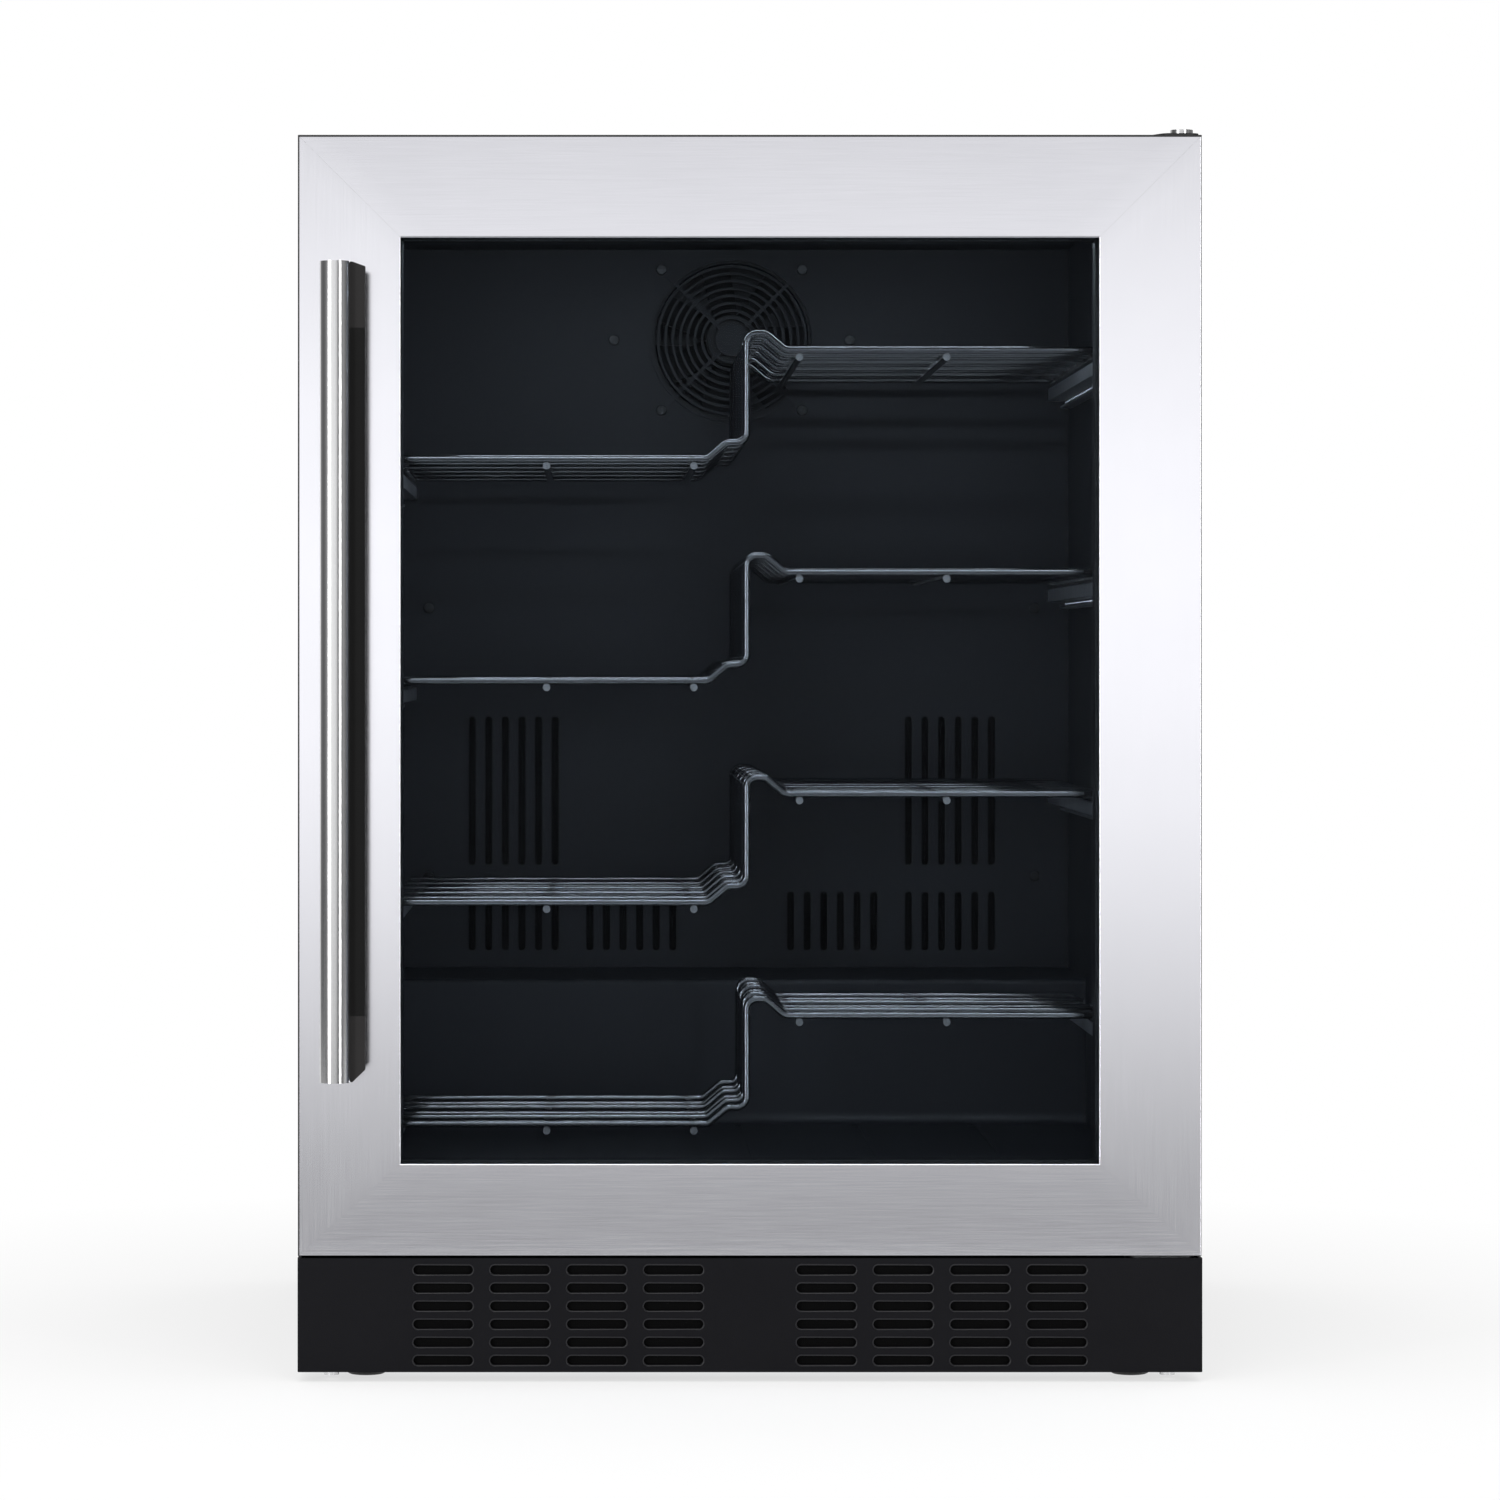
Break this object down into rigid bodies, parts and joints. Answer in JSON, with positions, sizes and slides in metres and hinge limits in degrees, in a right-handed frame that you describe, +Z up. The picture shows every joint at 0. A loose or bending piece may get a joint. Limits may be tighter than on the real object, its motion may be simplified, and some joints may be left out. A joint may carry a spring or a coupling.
{
  "type": "wine cooler",
  "caption": "Under-counter wine cooler with a steel-framed glass door, bar handle, stepped wire racks on slides, slotted plinth, cooling circuit with fans, and levelling feet.",
  "frame": {"origin": "on the floor, under the middle of the outer box, with the feet screwed in", "axes": "+X right seen from the front, the door faces -Y, +Z up"},
  "size_m": [0.595, 0.616, 0.826],
  "materials": {
    "stainless": "satin",
    "cabinet_paint": "satin",
    "plinth_paint": "matte",
    "zinc_steel": "satin",
    "bright_steel": "polished",
    "black_screws": "satin",
    "coated_fins": "satin",
    "foam": "matte",
    "liner_plastic": "satin",
    "black_plastic": "matte",
    "bush_plastic": "satin",
    "rack_coating": "gloss",
    "tinted_glass": "gloss",
    "window_plastic": "gloss",
    "lens_plastic": "satin",
    "rubber": "matte",
    "aluminium": "satin",
    "copper": "satin",
    "compressor_enamel": "gloss"
  },
  "bodies": {
    "cabinet": {"side_panels": "cabinet_paint", "top_panel": "cabinet_paint", "rear_panel": "cabinet_paint", "rear_vent_cover": "cabinet_paint", "front_rail": "cabinet_paint", "top_hinge_plate": "cabinet_paint", "plinth_grille": "plinth_paint", "plinth_ends": "plinth_paint", "base_pan": "zinc_steel", "slide_channels": "zinc_steel", "foot_sockets": "zinc_steel", "bottom_hinge_plate": "zinc_steel", "hinge_pins": "bright_steel", "hinge_bolts": "bright_steel", "plinth_bolts": "bright_steel", "panel_screws": "black_screws", "insulation": "foam", "inner_liner": "liner_plastic", "duct_panel": "liner_plastic", "control_housing": "liner_plastic", "fan_guard": "liner_plastic", "evaporator_fan_frame": "black_plastic", "condenser_fan_frame": "black_plastic", "control_window": "window_plastic", "led_lens": "lens_plastic", "compressor_mounts": "rubber", "cord_gland": "rubber", "condenser": "aluminium", "led_channel": "aluminium", "evaporator": "coated_fins", "refrigerant_lines": "copper", "compressor": "compressor_enamel"},
    "door": {"door_frame": "stainless", "door_core": "black_plastic", "glass_panes": "tinted_glass", "glass_spacer": "aluminium", "door_gasket": "rubber", "hinge_bushes": "bush_plastic", "handle_bar": "stainless", "handle_grip": "black_plastic", "handle_screws": "bright_steel"},
    "evaporator_fan": {"evaporator_fan_rotor": "black_plastic"},
    "condenser_fan": {"condenser_fan_rotor": "black_plastic"},
    "rack_1": {"rack_1_trays": "rack_coating", "rack_1_necks": "rack_coating", "rack_1_runners": "zinc_steel"},
    "rack_2": {"rack_2_trays": "rack_coating", "rack_2_necks": "rack_coating", "rack_2_runners": "zinc_steel"},
    "rack_3": {"rack_3_trays": "rack_coating", "rack_3_necks": "rack_coating", "rack_3_runners": "zinc_steel"},
    "rack_4": {"rack_4_trays": "rack_coating", "rack_4_necks": "rack_coating", "rack_4_runners": "zinc_steel"},
    "foot_front_left_leg": {"foot_front_left": "black_plastic"},
    "foot_front_right_leg": {"foot_front_right": "black_plastic"},
    "foot_rear_left_leg": {"foot_rear_left": "black_plastic"},
    "foot_rear_right_leg": {"foot_rear_right": "black_plastic"}
  },
  "joints": [
    {"name": "door_hinge", "type": "hinge", "parent": "cabinet", "child": "door", "pos_m": [0.287, -0.232, 0.45], "axis": [0, 0, 1], "range_deg": [0, 120]},
    {"name": "evaporator_fan_spin", "type": "hinge", "parent": "cabinet", "child": "evaporator_fan", "pos_m": [0, 0.2155, 0.714], "axis": [0, 1, 0], "continuous": true},
    {"name": "condenser_fan_spin", "type": "hinge", "parent": "cabinet", "child": "condenser_fan", "pos_m": [-0.0275, 0.2065, 0.077], "axis": [1, 0, 0], "continuous": true},
    {"name": "rack_1_slide", "type": "slide", "parent": "cabinet", "child": "rack_1", "axis": [0, -1, 0], "range_m": [0, 0.18]},
    {"name": "rack_2_slide", "type": "slide", "parent": "cabinet", "child": "rack_2", "axis": [0, -1, 0], "range_m": [0, 0.18]},
    {"name": "rack_3_slide", "type": "slide", "parent": "cabinet", "child": "rack_3", "axis": [0, -1, 0], "range_m": [0, 0.18]},
    {"name": "rack_4_slide", "type": "slide", "parent": "cabinet", "child": "rack_4", "axis": [0, -1, 0], "range_m": [0, 0.12]},
    {"name": "foot_front_left_screw", "type": "slide", "parent": "cabinet", "child": "foot_front_left_leg", "axis": [0, 0, -1], "range_m": [0, 0.025]},
    {"name": "foot_front_right_screw", "type": "slide", "parent": "cabinet", "child": "foot_front_right_leg", "axis": [0, 0, -1], "range_m": [0, 0.025]},
    {"name": "foot_rear_left_screw", "type": "slide", "parent": "cabinet", "child": "foot_rear_left_leg", "axis": [0, 0, -1], "range_m": [0, 0.025]},
    {"name": "foot_rear_right_screw", "type": "slide", "parent": "cabinet", "child": "foot_rear_right_leg", "axis": [0, 0, -1], "range_m": [0, 0.025]}
  ],
  "couplings": [
    {"joint": "rack_1_slide", "follows": "door_hinge", "m_per_rad": 0.085},
    {"joint": "rack_2_slide", "follows": "door_hinge", "m_per_rad": 0.085},
    {"joint": "rack_3_slide", "follows": "door_hinge", "m_per_rad": 0.085},
    {"joint": "rack_4_slide", "follows": "door_hinge", "m_per_rad": 0.055}
  ]
}
